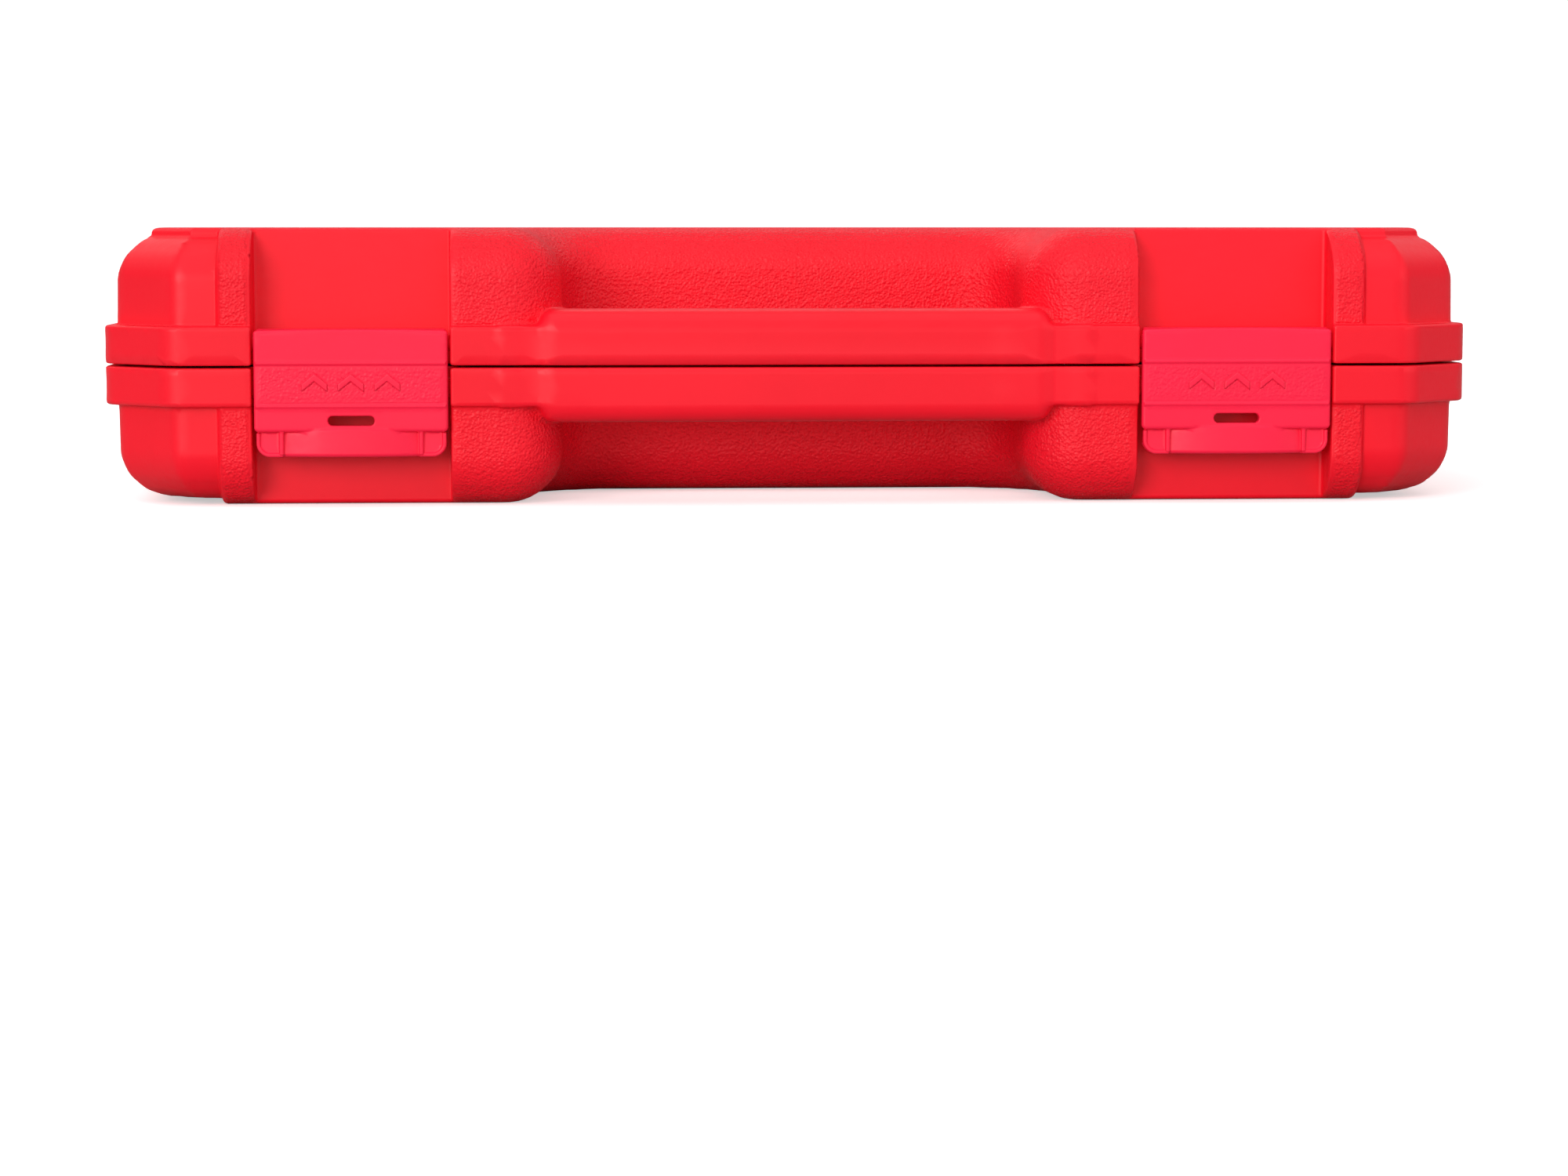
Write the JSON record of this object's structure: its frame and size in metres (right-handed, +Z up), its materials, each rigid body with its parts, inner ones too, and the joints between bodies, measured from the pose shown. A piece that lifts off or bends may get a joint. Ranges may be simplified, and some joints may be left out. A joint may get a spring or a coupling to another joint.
{
  "type": "socket wrench set in case",
  "caption": "Blow-moulded tool case with hinged lid, clip latches and integral handle, holding a ratchet, extension bars, a universal joint and sockets in a moulded bed.",
  "frame": {"origin": "on the standing surface, under the middle of the closed case's bounding box", "axes": "+X to the right seen from the handle side, -Y towards the handle and latches, +Y towards the hinges, +Z up; millimetre design stored in metres"},
  "size_m": [0.348, 0.269, 0.0695],
  "materials": {
    "case_red": "satin blow-moulded polyethylene with grained panels",
    "latch_red": "satin injection-moulded plastic",
    "chrome": "polished chrome plate",
    "satin_steel": "satin plate",
    "steel": "plain steel",
    "black_steel": "black oxide",
    "rubber": "matt black rubber"
  },
  "bodies": {
    "case_base": {"base_shell": "case_red", "base_tool_bed": "case_red", "plug_socket_tray": "case_red", "deep_socket_tray": "case_red", "socket_tray": "case_red", "hinge_pin_left": "steel", "hinge_pin_right": "steel", "socket_6": "chrome", "socket_7": "chrome", "socket_8": "chrome", "socket_9": "chrome", "socket_10": "chrome", "socket_11": "chrome", "socket_12": "chrome", "socket_13": "chrome", "socket_14": "chrome", "socket_15": "chrome", "socket_16": "chrome", "socket_17": "chrome", "socket_18": "chrome", "socket_19": "chrome", "deep_socket_10": "chrome", "deep_socket_11": "chrome", "deep_socket_12": "chrome", "deep_socket_13": "chrome", "deep_socket_14": "chrome", "deep_socket_15": "chrome", "deep_socket_17": "chrome", "deep_socket_19": "chrome", "spark_plug_socket": "chrome", "spark_plug_grip": "rubber", "hex_bit_socket_6": "satin_steel", "hex_bit_socket_8": "satin_steel", "extension_bar_150": "chrome", "extension_bar_75": "chrome", "drive_adapter": "chrome", "universal_joint_socket_yoke": "satin_steel", "ratchet_body": "chrome", "ratchet_cover": "satin_steel", "ratchet_cover_screw_1": "black_steel", "ratchet_cover_screw_2": "black_steel"},
    "case_lid": {"lid_shell": "case_red", "lid_liner": "case_red"},
    "left_latch": {"latch_left": "latch_red"},
    "right_latch": {"latch_right": "latch_red"},
    "ratchet_drive": {"ratchet_drive_gear": "steel"},
    "ratchet_ball": {"ratchet_detent_ball": "steel"},
    "ratchet_button": {"ratchet_release_button": "steel"},
    "ratchet_pawl_body": {"ratchet_pawl": "steel"},
    "ratchet_lever": {"ratchet_selector": "satin_steel"},
    "joint_cross": {"universal_joint_cross": "steel"},
    "joint_drive_end": {"universal_joint_drive_yoke": "satin_steel"}
  },
  "joints": [
    {"name": "lid_hinge", "type": "hinge", "parent": "case_base", "child": "case_lid", "pos_m": [0, 0.1307, 0.035], "axis": [-1, 0, 0], "range_deg": [0, 160]},
    {"name": "left_latch_clip", "type": "hinge", "parent": "case_lid", "child": "left_latch", "pos_m": [-0.11115, -0.13, 0.0408], "axis": [-1, 0, 0], "range_deg": [0, 120]},
    {"name": "right_latch_clip", "type": "hinge", "parent": "case_lid", "child": "right_latch", "pos_m": [0.11115, -0.13, 0.0408], "axis": [-1, 0, 0], "range_deg": [0, 120]},
    {"name": "drive_spin", "type": "hinge", "parent": "case_base", "child": "ratchet_drive", "pos_m": [-0.096, -0.06, 0.03], "axis": [0, 0, 1], "continuous": true},
    {"name": "release_button", "type": "slide", "parent": "ratchet_drive", "child": "ratchet_button", "axis": [0, 0, 1], "range_m": [-0.0012, 0], "stiffness_N_per_m": 400, "springref_m": 0.001},
    {"name": "detent_ball_slide", "type": "slide", "parent": "ratchet_drive", "child": "ratchet_ball", "axis": [0, 1, 0], "range_m": [0, 0.0008]},
    {"name": "selector_turn", "type": "hinge", "parent": "case_base", "child": "ratchet_lever", "pos_m": [-0.0798, -0.06, 0.037], "axis": [0, 0, 1], "range_deg": [0, 40]},
    {"name": "pawl_rock", "type": "hinge", "parent": "case_base", "child": "ratchet_pawl_body", "pos_m": [-0.0798, -0.06, 0.03], "axis": [0, 0, 1], "range_deg": [-7.14, 0]},
    {"name": "universal_joint_pitch", "type": "hinge", "parent": "case_base", "child": "joint_cross", "pos_m": [-0.137, -0.097, 0.026], "axis": [0, 1, 0], "range_deg": [-30, 30]},
    {"name": "universal_joint_yaw", "type": "hinge", "parent": "joint_cross", "child": "joint_drive_end", "pos_m": [-0.137, -0.097, 0.026], "axis": [0, 0, 1], "range_deg": [-30, 30]}
  ],
  "couplings": [
    {"joint": "pawl_rock", "follows": "selector_turn", "ratio": -0.1785},
    {"joint": "detent_ball_slide", "follows": "release_button", "ratio": -0.6667}
  ]
}
